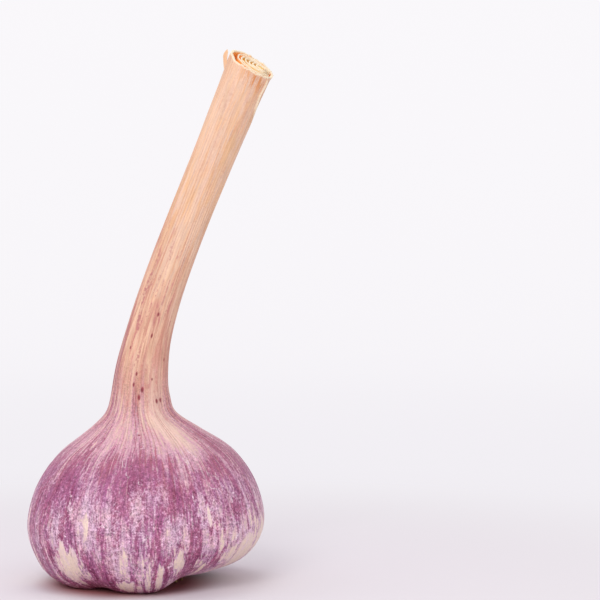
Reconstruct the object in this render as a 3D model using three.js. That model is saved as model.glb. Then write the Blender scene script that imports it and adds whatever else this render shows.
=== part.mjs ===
// A cured bulb of purple-striped garlic with its long cut stem, standing on the feet of its cloves.
// Millimetres, +Z up. The origin is the middle of the root plate's flat underside.
// The stem leans towards +X and, less, towards -Y, which is the front.
import * as THREE from "three";

// Driving dimensions, in millimetres. Heights run along the spine, the line up the middle of the
// bulb and the stem, and angles are degrees round it from +X towards +Y.
const WAIST_HEIGHT = 15; // where the bulb is widest
const NECK_HEIGHT = 46; // where the stem starts to bend
const STEM_TOP = 131.4; // where the stem is cut
const SEAT_RADIUS = 8.9; // of the hollow that the root plate sits in
const SEAT_HEIGHT = 3;
const FOOT_RADIUS = 14.5; // the inner edge of the ring that the cloves stand on
const GAP = 0.3; // between touching pieces

const STEM_LEAN = 23.4; // towards +X, reached smoothly above the neck
const FORWARD_LEAN = 9; // towards -Y, reached at the cut
const BEND_LENGTH = 16; // how quickly the stem reaches its lean
const NECK_OFFSET = 1.7; // how far the neck stands towards -X from the bulb's middle

// The skin's outline from the root plate's hollow to the cut, as [radius, height].
const SKIN_OUTLINE = [
  [SEAT_RADIUS, SEAT_HEIGHT],
  [11, 1.1],
  [FOOT_RADIUS, 0],
  [19.2, 0.25],
  [24.8, 3.7],
  [28.2, 10],
  [28.9, WAIST_HEIGHT + 1.5],
  [26.4, 24.8],
  [21.3, 31.8],
  [13.9, 37.2],
  [8.8, 41.2],
  [7.3, 45.4],
  [6.4, 52.5],
  [5.5, 63.5],
  [5.1, 84],
  [5.1, 104],
  [5.4, 119],
  [5.8, STEM_TOP],
];
const ROWS_PER_POINT = 3;
const SKIN_SIDES = 64;

// The cloves under the skin: where each lies, how far it swells past the outline, and how far its
// foot is off the ground. The bulb stands on the cloves whose lift is 0.
const CLOVES = [
  { angle: 22, swell: 0, lift: 2.6 },
  { angle: 68, swell: -0.4, lift: 0.5 },
  { angle: 113, swell: 0.2, lift: 0 },
  { angle: 158, swell: -0.2, lift: 0 },
  { angle: 205, swell: 0.8, lift: 0 },
  { angle: 270, swell: 0.3, lift: 0.5 },
  { angle: 331, swell: 0.5, lift: 4.6 },
];
const WAIST_CLEFT = 0.7; // depth of the grooves between the cloves, at the waist
const FOOT_CLEFT = 1.3; // and at the foot
const NOTCH_RISE = 1; // how far a groove lifts the skin off the ground
const FOOT_SINK = 0.45; // what the standing cloves are flattened by

// The cut end: leaf sheaths rolled one inside the other round the flower stalk.
const LEAF_THICKNESS = 0.55;
const LEAF_PITCH = 1; // from one sheath to the next
const LEAF_SHIFT = 0.12; // of each sheath towards +X in the one round it
const INNER_SHEATHS = 3;
const CUT_DEPTH = 6; // how far down the sheaths stand apart
const FLARE = 0.95; // radius at that depth, as a share of the radius at the cut
const CUT_SLANT_SIDE = 8; // degrees that the cut drops towards +X
const CUT_SLANT_FRONT = 10; // and towards -Y
const TONGUE = { angle: 192, halfWidth: 11, rise: 2.4 }; // a strip of the outer leaf left standing

const ROOT_PLATE_RADIUS = 8.1;
const ROOT_STUBS = 21;
const ROOT_STUB_BULGE = 0.4;

const COLOURS = {
  skin: 0xc093a8,
  leaf: 0xe8c79f,
  stalk: 0xf1dfb4,
  roots: 0x9a7448,
};

const { smoothstep, degToRad, euclideanModulo } = THREE.MathUtils;

// The two cloves that an angle lies between, blended: cleft is 0 on a clove and 1 between two.
function cloveAt(degrees) {
  const count = CLOVES.length;
  const first = CLOVES[0].angle;
  const past = first + euclideanModulo(degrees - first, 360);
  let i = count - 1;
  while (CLOVES[i].angle > past) i -= 1;
  const here = CLOVES[i];
  const next = CLOVES[(i + 1) % count];
  const span = euclideanModulo(next.angle - here.angle, 360);
  const share = (past - here.angle) / span;
  const blend = smoothstep(share, 0, 1);
  return {
    cleft: Math.sin(Math.PI * share) ** 4,
    swell: THREE.MathUtils.lerp(here.swell, next.swell, blend),
    lift: THREE.MathUtils.lerp(here.lift, next.lift, blend),
  };
}

// The outline's point at an angle, pushed out by the cloves and flattened where it stands.
function overCloves(degrees, radius, height) {
  const { cleft, swell, lift } = cloveAt(degrees);
  const low = 1 - smoothstep(height, 0, WAIST_HEIGHT);
  const below = 1 - smoothstep(height, WAIST_HEIGHT + 8, NECK_HEIGHT - 5);
  const outside = smoothstep(radius, SEAT_RADIUS, FOOT_RADIUS);
  const depth = WAIST_CLEFT * below + (FOOT_CLEFT - WAIST_CLEFT) * low;
  return {
    radius: radius + outside * (swell * below - depth * cleft),
    height: Math.max(0, height + outside * low * (lift + NOTCH_RISE * cleft - FOOT_SINK)),
  };
}

// How far the cut stands above or below STEM_TOP at an angle.
function cutRise(degrees, radius) {
  const angle = degToRad(degrees);
  const side = -Math.tan(degToRad(CUT_SLANT_SIDE)) * Math.cos(angle);
  const front = Math.tan(degToRad(CUT_SLANT_FRONT)) * Math.sin(angle);
  return radius * (side + front);
}

function tongueRise(degrees) {
  const away = Math.abs(degrees - TONGUE.angle) / TONGUE.halfWidth;
  return TONGUE.rise * (1 - smoothstep(away, 0.4, 1.2));
}

// The spine's direction at a height, with the axes that cross it: across is +X and through is +Y
// where the spine is upright.
function spineAxes(height) {
  const risen = Math.max(0, height - NECK_HEIGHT);
  const lean = degToRad(STEM_LEAN) * (1 - Math.exp(-risen / BEND_LENGTH));
  const forward = degToRad(FORWARD_LEAN) * smoothstep(height, NECK_HEIGHT, STEM_TOP);
  const along = new THREE.Vector3(
    Math.sin(lean) * Math.cos(forward),
    -Math.sin(forward),
    Math.cos(lean) * Math.cos(forward),
  );
  const across = new THREE.Vector3(Math.cos(lean), 0, -Math.sin(lean));
  const through = new THREE.Vector3().crossVectors(along, across);
  return { along, across, through };
}

const SPINE_STEP = 0.5;
const SPINE = [new THREE.Vector3()];
while (SPINE.length * SPINE_STEP < STEM_TOP) {
  const { along } = spineAxes((SPINE.length - 0.5) * SPINE_STEP);
  SPINE.push(SPINE.at(-1).clone().addScaledVector(along, SPINE_STEP));
}

// A point of the part from its angle, radius and height about the spine.
function onSpine(degrees, radius, height) {
  const row = Math.min(Math.floor(height / SPINE_STEP), SPINE.length - 1);
  const { along, across, through } = spineAxes(height);
  const angle = degToRad(degrees);
  const point = SPINE[row].clone().addScaledVector(along, height - row * SPINE_STEP);
  point.x -= NECK_OFFSET * smoothstep(height, NECK_HEIGHT - 12, NECK_HEIGHT - 3);
  point.addScaledVector(across, radius * Math.cos(angle));
  return point.addScaledVector(through, radius * Math.sin(angle));
}

// A body turned about the spine: place gives each point of the lathed profile its own place.
function turned(name, profile, sides, colour, roughness, place) {
  const geometry = new THREE.LatheGeometry(
    profile.map(([radius, height]) => new THREE.Vector2(radius, height)),
    sides,
  );
  const position = geometry.getAttribute("position");
  const vertex = new THREE.Vector3();
  for (let i = 0; i < position.count; i += 1) {
    vertex.fromBufferAttribute(position, i);
    const degrees = euclideanModulo(THREE.MathUtils.radToDeg(Math.atan2(vertex.x, vertex.z)), 360);
    const point = place(degrees, Math.hypot(vertex.x, vertex.z), vertex.y);
    position.setXYZ(i, point.x, point.y, point.z);
  }
  geometry.computeVertexNormals();
  const material = new THREE.MeshStandardMaterial({ color: colour, roughness, metalness: 0 });
  const mesh = new THREE.Mesh(geometry, material);
  mesh.name = name;
  return mesh;
}

// The outermost leaf: the skin over the cloves, drawn in to the neck and carried up the stem.
function bulbAndStem() {
  const outline = new THREE.SplineCurve(SKIN_OUTLINE.map(([r, h]) => new THREE.Vector2(r, h)));
  const outside = outline.getPoints(ROWS_PER_POINT * (SKIN_OUTLINE.length - 1));
  const rim = outside.at(-1).x - LEAF_THICKNESS;
  const floor = STEM_TOP - CUT_DEPTH;
  const profile = [
    [0, SEAT_HEIGHT],
    ...outside.map(({ x, y }) => [x, y]),
    [rim, STEM_TOP],
    [rim * FLARE, floor],
    [0, floor],
  ];
  return turned("bulb_and_stem", profile, SKIN_SIDES, COLOURS.skin, 0.6, (degrees, radius, height) => {
    const skin = overCloves(degrees, radius, height);
    const nearCut = smoothstep(height, floor, STEM_TOP);
    const rise = nearCut * (cutRise(degrees, radius) + tongueRise(degrees));
    return onSpine(degrees, skin.radius, skin.height + rise);
  });
}

// One of the rolled leaves inside the outermost one, as far down as the cut opens it.
function leafSheath(number) {
  const outer = SKIN_OUTLINE.at(-1)[0] - number * LEAF_PITCH;
  const inner = outer - LEAF_THICKNESS;
  const floor = STEM_TOP - CUT_DEPTH + GAP;
  const profile = [
    [inner * FLARE, floor],
    [outer * FLARE, floor],
    [outer, STEM_TOP],
    [inner, STEM_TOP],
    [inner * FLARE, floor],
  ];
  return turned(`leaf_sheath_${number}`, profile, 36, COLOURS.leaf, 0.7, atCut(number));
}

// The flower stalk in the middle of the leaves.
function flowerStalk() {
  const radius = SKIN_OUTLINE.at(-1)[0] - (INNER_SHEATHS + 1) * LEAF_PITCH;
  const floor = STEM_TOP - CUT_DEPTH + GAP;
  const profile = [
    [0, floor],
    [radius * FLARE, floor],
    [radius, STEM_TOP],
    [0, STEM_TOP],
  ];
  return turned("flower_stalk", profile, 24, COLOURS.stalk, 0.7, atCut(INNER_SHEATHS + 1));
}

// Places the points of a piece in the cut, the number of layers in from the outermost leaf.
function atCut(number) {
  return (degrees, radius, height) => {
    const nearCut = smoothstep(height, STEM_TOP - CUT_DEPTH, STEM_TOP);
    const point = onSpine(degrees, radius, height + nearCut * cutRise(degrees, radius));
    return point.addScaledVector(spineAxes(height).across, number * LEAF_SHIFT);
  };
}

// The corky plate that the roots grew from, trimmed flat, with the roots' stubs round its edge.
function rootPlate() {
  const top = SEAT_HEIGHT - GAP;
  const profile = [
    [0, 0],
    [ROOT_PLATE_RADIUS - 1, 0],
    [ROOT_PLATE_RADIUS - 0.2, 0.6],
    [ROOT_PLATE_RADIUS, 1.6],
    [ROOT_PLATE_RADIUS - 0.7, top],
    [0, top],
  ];
  return turned("root_plate", profile, 4 * ROOT_STUBS, COLOURS.roots, 0.9, (degrees, radius, height) => {
    const stub = ROOT_STUB_BULGE * Math.cos(degToRad(degrees * ROOT_STUBS));
    return onSpine(degrees, radius * (1 + stub / ROOT_PLATE_RADIUS), height);
  });
}

const garlic = new THREE.Group();
garlic.add(bulbAndStem(), rootPlate(), flowerStalk());
for (let number = 1; number <= INNER_SHEATHS; number += 1) {
  garlic.add(leafSheath(number));
}

export default garlic;
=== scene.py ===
"""A cured bulb of purple-striped garlic with its cut stem: the pieces that are seen."""

import math
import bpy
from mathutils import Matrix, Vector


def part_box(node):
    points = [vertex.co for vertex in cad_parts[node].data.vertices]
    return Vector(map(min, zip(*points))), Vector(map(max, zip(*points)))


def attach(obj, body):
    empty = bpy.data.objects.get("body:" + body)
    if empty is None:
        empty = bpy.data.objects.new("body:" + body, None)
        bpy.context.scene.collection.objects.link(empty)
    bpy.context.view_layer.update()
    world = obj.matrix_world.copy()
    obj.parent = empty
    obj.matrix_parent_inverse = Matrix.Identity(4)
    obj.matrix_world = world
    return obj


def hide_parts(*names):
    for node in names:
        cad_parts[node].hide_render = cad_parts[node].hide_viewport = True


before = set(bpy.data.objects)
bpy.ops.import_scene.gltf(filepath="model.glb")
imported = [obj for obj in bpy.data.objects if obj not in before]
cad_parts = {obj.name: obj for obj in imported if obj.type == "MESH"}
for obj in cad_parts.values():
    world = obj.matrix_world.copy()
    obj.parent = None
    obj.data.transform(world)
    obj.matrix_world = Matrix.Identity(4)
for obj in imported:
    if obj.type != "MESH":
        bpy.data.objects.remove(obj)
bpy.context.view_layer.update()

from types import SimpleNamespace

import bpy
import numpy as np
from bpy.props import FloatProperty, FloatVectorProperty, IntProperty, PointerProperty
from mathutils import Vector

bl_info = {
    "name": "Garlic Bulb",
    "version": (1, 0, 0),
    "blender": (4, 5, 0),
    "location": "3D View > Sidebar > Garlic",
    "description": "Builds a garlic bulb with its skin, rolled leaves and root plate",
    "category": "Add Mesh",
}

BODY = "root"
MM = 0.001

# The part's driving dimensions, in millimetres. Heights run along the spine, the line up the
# middle of the bulb and the stem. Angles are degrees round it from +X towards +Y.
WAIST_HEIGHT = 15.0
NECK_HEIGHT = 46.0
STEM_TOP = 131.4
SEAT_RADIUS = 8.9
SEAT_HEIGHT = 3.0
FOOT_RADIUS = 14.5
STEM_LEAN = 23.4
FORWARD_LEAN = 9.0
BEND_LENGTH = 16.0
NECK_OFFSET = 1.7
OUTLINE = (
    (SEAT_RADIUS, SEAT_HEIGHT),
    (11, 1.1),
    (FOOT_RADIUS, 0),
    (19.2, 0.25),
    (24.8, 3.7),
    (28.2, 10),
    (28.9, WAIST_HEIGHT + 1.5),
    (26.4, 24.8),
    (21.3, 31.8),
    (13.9, 37.2),
    (8.8, 41.2),
    (7.3, 45.4),
    (6.4, 52.5),
    (5.5, 63.5),
    (5.1, 84),
    (5.1, 104),
    (5.4, 119),
    (5.8, STEM_TOP),
)
# The cloves: the angle of each, how far it swells, and how far its foot is off the ground.
CLOVES = (
    (22, 0.0, 2.6),
    (68, -0.4, 0.5),
    (113, 0.2, 0.0),
    (158, -0.2, 0.0),
    (205, 0.8, 0.0),
    (270, 0.3, 0.5),
    (331, 0.5, 4.6),
)
CLOVES_FADE = (WAIST_HEIGHT + 8, NECK_HEIGHT - 5)  # the heights between which they flatten out
WAIST_CLEFT = 0.7
FOOT_CLEFT = 1.3
NOTCH_RISE = 1.0
FOOT_SINK = 0.45
CUT_DEPTH = 6.0
CUT_SLANT_SIDE = 8.0
CUT_SLANT_FRONT = 10.0
FRONT = 270.0  # the angle of the front, -Y

CURVE_STEPS = 40  # dense points in each stretch of the outline
FOOT_END = 5 * CURVE_STEPS  # the dense point at which the bulb's foot ends
NECK_SHIFT = (NECK_HEIGHT - 12, NECK_HEIGHT - 3)  # the heights between which the neck moves over
SPINE_STEP = 0.25


# ---------------------------------------------------------------------------------------------
# Numbers
# ---------------------------------------------------------------------------------------------


def smoothstep(values, low, high):
    share = np.clip((values - low) / (high - low), 0, 1)
    return share * share * (3 - 2 * share)


def bump_of(values, middle, half_width):
    """A smooth hump, 1 at the middle and 0 from twice the half width."""
    return 1 - smoothstep(np.abs(values - middle) / half_width, 0, 2)


def angle_from(degrees, middle):
    """The way round from the middle, from -180 to 180 degrees."""
    return np.mod(degrees - middle + 180, 360) - 180


def once_round(count):
    """Angles in degrees, spread evenly."""
    return np.arange(count) * 360 / count


def ring_noise(degrees, along, cells, length, seed):
    """Smooth random values from -1 to 1, the same after a full turn. Each use has its own seed."""
    size = 97  # rows in the table, after which it starts again
    table = np.random.default_rng(seed).uniform(-1, 1, (size, cells))
    across = np.mod(degrees, 360) / 360 * cells
    up = along / length + 50
    column, row = np.floor(across).astype(int), np.floor(up).astype(int)
    x, y = smoothstep(across - column, 0, 1), smoothstep(up - row, 0, 1)
    rows, columns = (row % size, (row + 1) % size), (column % cells, (column + 1) % cells)
    low = table[rows[0], columns[0]] * (1 - x) + table[rows[0], columns[1]] * x
    high = table[rows[1], columns[0]] * (1 - x) + table[rows[1], columns[1]] * x
    return low * (1 - y) + high * y


def light(red, green, blue):
    """A colour given as it looks on a screen, from 0 to 255, as the light that a shader mixes."""
    shares = [value / 255 for value in (red, green, blue)]
    return tuple(((s + 0.055) / 1.055) ** 2.4 if s > 0.04 else s / 12.92 for s in shares)


# ---------------------------------------------------------------------------------------------
# The bulb's form
# ---------------------------------------------------------------------------------------------


def outline_curve():
    """The skin's outline as dense radii, heights and distances along it from the root plate."""
    points = np.array(OUTLINE, float)
    ends = np.vstack([2 * points[0] - points[1], points, 2 * points[-1] - points[-2]])
    t = np.linspace(0, 1, CURVE_STEPS, endpoint=False)[:, None]
    curve = []
    for a, b, c, d in zip(ends, ends[1:], ends[2:], ends[3:]):
        slope_b, slope_c = (c - a) / 2, (d - b) / 2
        curve.append(
            b
            + slope_b * t
            + (3 * (c - b) - 2 * slope_b - slope_c) * t**2
            + (2 * (b - c) + slope_b + slope_c) * t**3
        )
    curve = np.vstack([*curve, points[-1:]])
    length = np.append(0, np.cumsum(np.hypot(*np.diff(curve, axis=0).T)))
    return curve[:, 0], curve[:, 1], length


def clove_at(degrees):
    """The cleft, swell and lift at each angle, blended between the cloves on both sides."""
    angles, swells, lifts = np.array(CLOVES, float).T
    past = angles[0] + np.mod(degrees - angles[0], 360)
    here = np.searchsorted(angles, past, side="right") - 1
    there = (here + 1) % len(angles)
    share = (past - angles[here]) / np.mod(angles[there] - angles[here], 360)
    blend = smoothstep(share, 0, 1)
    cleft = np.sin(np.pi * share) ** 4
    swell = swells[here] + (swells[there] - swells[here]) * blend
    return cleft, swell, lifts[here] + (lifts[there] - lifts[here]) * blend


def over_cloves(degrees, radius, height):
    """The outline pushed out by the cloves and flattened where it stands."""
    cleft, swell, lift = clove_at(degrees)
    low = 1 - smoothstep(height, 0, WAIST_HEIGHT)
    below = 1 - smoothstep(height, *CLOVES_FADE)
    outside = smoothstep(radius, SEAT_RADIUS, FOOT_RADIUS)
    depth = WAIST_CLEFT * below + (FOOT_CLEFT - WAIST_CLEFT) * low
    rise = lift + NOTCH_RISE * cleft - FOOT_SINK
    wide = radius + outside * (swell * below - depth * cleft)
    return wide, np.maximum(0, height + outside * low * rise)


def cut_rise(degrees, radius, shift=0.0):
    """How far the slanted cut stands above or below the stem's top."""
    slant = math.tan(math.radians(CUT_SLANT_SIDE))
    side = -slant * np.cos(np.radians(degrees))
    front = math.tan(math.radians(CUT_SLANT_FRONT)) * np.sin(np.radians(degrees))
    return radius * (side + front) - slant * shift


def spine_axes(height):
    """The spine's direction at each height, and the two axes that cross it."""
    lean = math.radians(STEM_LEAN) * (1 - np.exp(-np.maximum(0, height - NECK_HEIGHT) / BEND_LENGTH))
    forward = math.radians(FORWARD_LEAN) * smoothstep(height, NECK_HEIGHT, STEM_TOP)
    zero = np.zeros_like(lean)
    along = np.stack([np.sin(lean) * np.cos(forward), -np.sin(forward), np.cos(lean) * np.cos(forward)], -1)
    across = np.stack([np.cos(lean), zero, -np.sin(lean)], -1)
    return along, across, np.cross(along, across)


def spine_line():
    """Heights along the spine, and its point at each."""
    heights = np.arange(0, STEM_TOP + 8, SPINE_STEP)
    steps = spine_axes(heights[:-1] + SPINE_STEP / 2)[0] * SPINE_STEP
    return heights, np.vstack([np.zeros((1, 3)), np.cumsum(steps, axis=0)])


SPINE_HEIGHTS, SPINE_POINTS = spine_line()


def on_spine(degrees, radius, height, shift=0.0):
    """Points in millimetres from their angle, radius and height about the spine."""
    point = np.stack([np.interp(height, SPINE_HEIGHTS, SPINE_POINTS[:, i]) for i in range(3)], -1)
    point[..., 2] = np.where(height < 0, height, point[..., 2])
    _, across, through = spine_axes(height)
    point[..., 0] -= NECK_OFFSET * smoothstep(height, *NECK_SHIFT)
    angle = np.radians(degrees)
    point = point + across * (radius * np.cos(angle) + shift)[..., None]
    return point + through * (radius * np.sin(angle))[..., None]


# ---------------------------------------------------------------------------------------------
# Meshes
# ---------------------------------------------------------------------------------------------

VECTOR_FACTS = ("grain",)  # every other fact is a single number
CAP_HEIGHT = 0.01  # the share of the texture's height that an end's cap takes


class Sheet:
    """Rows of points that each go once round, with what the material needs to know at them."""

    def __init__(self, points, facts, closed=False, rows=None):
        self.points = points
        self.facts = facts
        self.closed = closed  # whether the last row joins the first one
        # Each row's height on the texture.
        self.rows = np.linspace(0, 1, len(points) + closed) if rows is None else rows


def spread_rows(count):
    """Rows' heights on the texture, spread evenly, with room for a cap at both ends."""
    return np.linspace(0.02, 0.98, count)


def ring_faces(rows, columns, closed):
    """The four-sided faces between neighbouring rows and columns, and each corner's place."""
    row = np.arange(rows if closed else rows - 1)[:, None]
    column = np.arange(columns)[None, :]
    here, above = row * columns, (row + 1) % rows * columns
    after = (column + 1) % columns

    def by_face(four):
        full = [np.broadcast_to(each, (len(row), columns)) for each in four]
        return np.stack(full, -1).reshape(-1, 4)

    corners = by_face((here + column, here + after, above + after, above + column))
    across = by_face((column, column + 1, column + 1, column))
    return corners, across, by_face((row, row, row + 1, row + 1))


def end_cap(sheet, row, turn, middle, left, right):
    """The three-sided faces from an end's row to its middle point, and their places."""
    columns = sheet.points.shape[1]
    ring = np.arange(columns)
    pairs = np.stack([ring, np.roll(ring, -1)], -1)[:, ::turn] + row * columns
    faces = np.column_stack([pairs, np.full(columns, middle)])
    edge = sheet.rows[row]
    x = left + (right - left) * np.stack([ring, ring + 1], -1)[:, ::turn] / columns
    place_x = np.column_stack([x, x.mean(axis=1)])
    place_y = np.column_stack([np.full((columns, 2), edge), np.full(columns, edge + CAP_HEIGHT * turn)])
    return faces, np.stack([place_x, place_y], -1).reshape(-1, 2)


def sheet_mesh(sheet, left, right):
    """A sheet's points, faces, places on the texture and facts. An open sheet's ends are capped."""
    rows, columns = sheet.points.shape[:2]
    corners, across, up = ring_faces(rows, columns, sheet.closed)
    points, faces = [sheet.points.reshape(-1, 3)], [corners]
    places = [np.stack([left + (right - left) * across / columns, sheet.rows[up]], -1).reshape(-1, 2)]
    facts = {key: [value.reshape(rows * columns, -1)] for key, value in sheet.facts.items()}
    ends = () if sheet.closed else ((0, -1), (rows - 1, 1))
    for number, (row, turn) in enumerate(ends):
        cap, cap_places = end_cap(sheet, row, turn, rows * columns + number, left, right)
        points.append(sheet.points[row].mean(axis=0)[None, :])
        faces.append(cap)
        places.append(cap_places)
        for key, value in sheet.facts.items():
            facts[key].append(value[row].reshape(columns, -1).mean(axis=0)[None, :])
    return np.vstack(points), faces, np.vstack(places), {key: np.vstack(each) for key, each in facts.items()}


def piece(name, sheets, replaced, material, regions=((0, 1),)):
    """One object made of sheets, each with its own strip of the texture. It rides on the bulb."""
    points, faces, places, facts = [], [], [], {}
    start = 0
    for sheet, (left, right) in zip(sheets, regions):
        sheet_points, sheet_faces, sheet_places, sheet_facts = sheet_mesh(sheet, left, right)
        points.append(sheet_points)
        places.append(sheet_places)
        for each in sheet_faces:
            faces.extend((each + start).tolist())
        for key, values in sheet_facts.items():
            facts.setdefault(key, []).append(values)
        start += len(sheet_points)
    mesh = bpy.data.meshes.new(name)
    mesh.from_pydata((np.vstack(points) * MM).tolist(), [], faces)
    uv = mesh.uv_layers.new(name="OFBake")
    uv.data.foreach_set("uv", np.clip(np.vstack(places), 0, 1).ravel())
    for key in sorted(facts):
        kind, field = ("FLOAT_VECTOR", "vector") if key in VECTOR_FACTS else ("FLOAT", "value")
        attribute = mesh.attributes.new(key, kind, "POINT")
        attribute.data.foreach_set(field, np.vstack(facts[key]).ravel())
    mesh.shade_smooth()
    mesh.validate()
    mesh.materials.append(material)
    made = bpy.data.objects.new(name, mesh)
    bpy.context.scene.collection.objects.link(made)
    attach(made, BODY)
    if replaced:
        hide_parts(*replaced)
    return made


# ---------------------------------------------------------------------------------------------
# Materials
# ---------------------------------------------------------------------------------------------


class Value:
    """A socket of a material's nodes. Arithmetic on it adds Math nodes."""

    def __init__(self, shader, socket):
        self.shader = shader
        self.socket = socket

    def __add__(self, other):
        return self.shader.math("ADD", self, other)

    def __sub__(self, other):
        return self.shader.math("SUBTRACT", self, other)

    def __rsub__(self, other):
        return self.shader.math("SUBTRACT", other, self)

    def __mul__(self, other):
        return self.shader.math("MULTIPLY", self, other)

    def __abs__(self):
        return self.shader.node("ShaderNodeMath", {"operation": "ABSOLUTE"}, {0: self})

    __radd__ = __add__
    __rmul__ = __mul__


class Shader:
    """The nodes of one material, with its main shader."""

    def __init__(self, name):
        self.material = bpy.data.materials.new(name)
        self.material.use_nodes = True
        self.tree = self.material.node_tree
        self.tree.nodes.clear()
        self.surface = self.tree.nodes.new("ShaderNodeBsdfPrincipled")
        self.output = self.tree.nodes.new("ShaderNodeOutputMaterial")
        self.tree.links.new(self.surface.outputs[0], self.output.inputs["Surface"])

    def node(self, kind, settings=None, sockets=None, result=0):
        """Adds a node: its settings first, then the values or links of its sockets."""
        node = self.tree.nodes.new(kind)
        for key, value in (settings or {}).items():
            setattr(node, key, value)
        for key, value in (sockets or {}).items():
            self.feed(node.inputs[key], value)
        return Value(self, node.outputs[result])

    def feed(self, socket, value):
        if isinstance(value, Value):
            self.tree.links.new(value.socket, socket)
        elif socket.type == "RGBA":
            socket.default_value = (*value, 1)
        else:
            socket.default_value = value

    def math(self, operation, first, second):
        return self.node("ShaderNodeMath", {"operation": operation}, {0: first, 1: second})

    def vector_math(self, operation, sockets, result=0):
        return self.node("ShaderNodeVectorMath", {"operation": operation}, sockets, result)

    def fact(self, name, result="Fac"):
        return self.node("ShaderNodeAttribute", {"attribute_name": name}, None, result)

    def place(self):
        """The point itself, in metres."""
        return self.node("ShaderNodeTexCoord", None, None, "Object")

    def stretched(self, vector, by):
        return self.vector_math("MULTIPLY", {0: vector, 1: by})

    def noise(self, vector, waves, detail, roughness):
        """Noise from 0 to 1, with so many waves in each unit of the vector along each axis."""
        stretched = self.stretched(vector, waves)
        sockets = {"Vector": stretched, "Scale": 1.0, "Detail": detail, "Roughness": roughness}
        return self.node("ShaderNodeTexNoise", None, sockets, "Fac")

    def between(self, value, low, high, start=0.0, end=1.0):
        """The value's smooth way from start at low to end at high."""
        sockets = {"Value": value, "From Min": low, "From Max": high, "To Min": start, "To Max": end}
        return self.node("ShaderNodeMapRange", {"interpolation_type": "SMOOTHSTEP"}, sockets)

    def mix(self, amount, first, second):
        """One colour to the other: the first one at 0, the second one at 1."""
        return self.node("ShaderNodeMix", {"data_type": "RGBA"}, {0: amount, 6: first, 7: second}, 2)

    def bump(self, strength, distance, height):
        sockets = {"Strength": strength, "Distance": distance, "Height": height}
        return self.node("ShaderNodeBump", None, sockets)

    def finish(self, **sockets):
        """Sets or links the main shader's sockets and gives the material."""
        for key, value in sockets.items():
            self.feed(self.surface.inputs[key.replace("_", " ")], value)
        return self.material


DEEP = (1.2, 4.5)  # millimetres below the cut between which the gaps take their deep colour
SKIN_FACTS = (
    "tint",  # how purple it is before its grain
    "pale",  # bare patches
    # Hazy patches of dry outer cells, and a painted highlight on the bulb's left middle.
    "haze",  # hazy patches of dry outer cells
    # Dark patches, and a painted shade over the bulb's left side.
    "dark",  # dark patches
    "vein",  # crests of the veins
    "line",  # lines between the veins
    "crease",  # pinched folds
    "warm",  # the neck and all above it
    "upper",  # the bulb's upper part and all above it
    "neck",  # where the neck's lines and dashes show
    "stem",
    "blush",  # the flush at the stem's foot
    # Painted light: the stem top's left front, made lighter where the lamps fall.
    "sunny",  # the lighter side of the stem's top
    "rim",  # brown lines below the cut
    "cut",
    "depth",  # millimetres below the cut on the inside
)


def skin_fields(shader):
    """What the skin's mesh says at each point, and the noise that breaks its colours up."""
    on = SimpleNamespace(**{name: shader.fact(name) for name in SKIN_FACTS})
    on.grain = shader.fact("grain", "Vector")
    place = shader.place()
    finer = STEM_GRAIN / BULB_GRAIN * 1.15  # the grain's waves across the stem, beside the bulb's

    def up_stem(across, along, detail=2.0, roughness=0.5):
        """Noise in long lines up the neck and the stem, from about -1 to 1."""
        waves = (across * finer, across * finer, along * 0.8)
        return (shader.noise(on.grain, waves, detail, roughness) - 0.5) * 4

    def drawn_out(across, along, detail=3.0, roughness=0.6):
        """Noise drawn out along the veins, from about -1 to 1, at so many waves a millimetre."""
        bulb = (shader.noise(on.grain, (across, across, along), detail, roughness) - 0.5) * 4
        return bulb + (up_stem(across, along, detail, roughness) - bulb) * on.stem

    def dotted(across, along, detail, roughness):
        """Noise in grains of one size all over, from about -1 to 1."""
        waves = (across / MM, across / MM, along / MM)
        return (shader.noise(place, waves, detail, roughness) - 0.5) * 4

    on.broad = drawn_out(0.27, 0.03)
    on.streak = drawn_out(0.66, 0.09, 4.0, 0.65)
    on.thread = drawn_out(1.9, 0.22)
    on.hue = drawn_out(0.42, 0.16)
    on.mottle = dotted(0.80, 0.62, 4.0, 0.75)
    on.speckle = dotted(1.35, 1.2, 2.0, 0.7)
    on.grit = dotted(2.7, 2.3, 2.0, 0.7)
    on.light_lines, on.dark_lines = up_stem(0.48, 0.025), up_stem(0.62, 0.05)
    on.wrinkle = wrinkles(shader, on.grain) * (1 - on.stem)
    return on


def spots(shader, grain):
    """Small dark spots, each a little longer than it is wide."""
    _, heights, lengths = outline_curve()
    thin = STEM_GRAIN / BULB_GRAIN
    fibre = shader.stretched(grain, (thin, thin, SPOT_SQUASH))
    found = None
    for turn, height, size in SPOTS:
        angle = math.radians(turn + FRONT)
        along = float(np.interp(height, heights[FOOT_END:], lengths[FOOT_END:]))
        middle = (STEM_GRAIN * math.cos(angle), STEM_GRAIN * math.sin(angle), along * SPOT_SQUASH)
        away = shader.vector_math("DISTANCE", {0: fibre, 1: middle}, "Value")
        spot = shader.between(away, size, size * 0.35)
        found = spot if found is None else shader.math("MAXIMUM", found, spot)
    return found


def wrinkles(shader, grain):
    """Short, thin, bent ridges that run mostly along the veins, scattered in patches."""
    bend = shader.noise(grain, (0.36, 0.36, 0.16), 1.0, 0.5)
    line = shader.between(abs(bend - 0.5), 0.020, 0.008)
    patches = shader.noise(grain, (0.24, 0.24, 0.2), 2.0, 0.6)
    return line * shader.between(patches, 0.54, 0.60)


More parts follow.
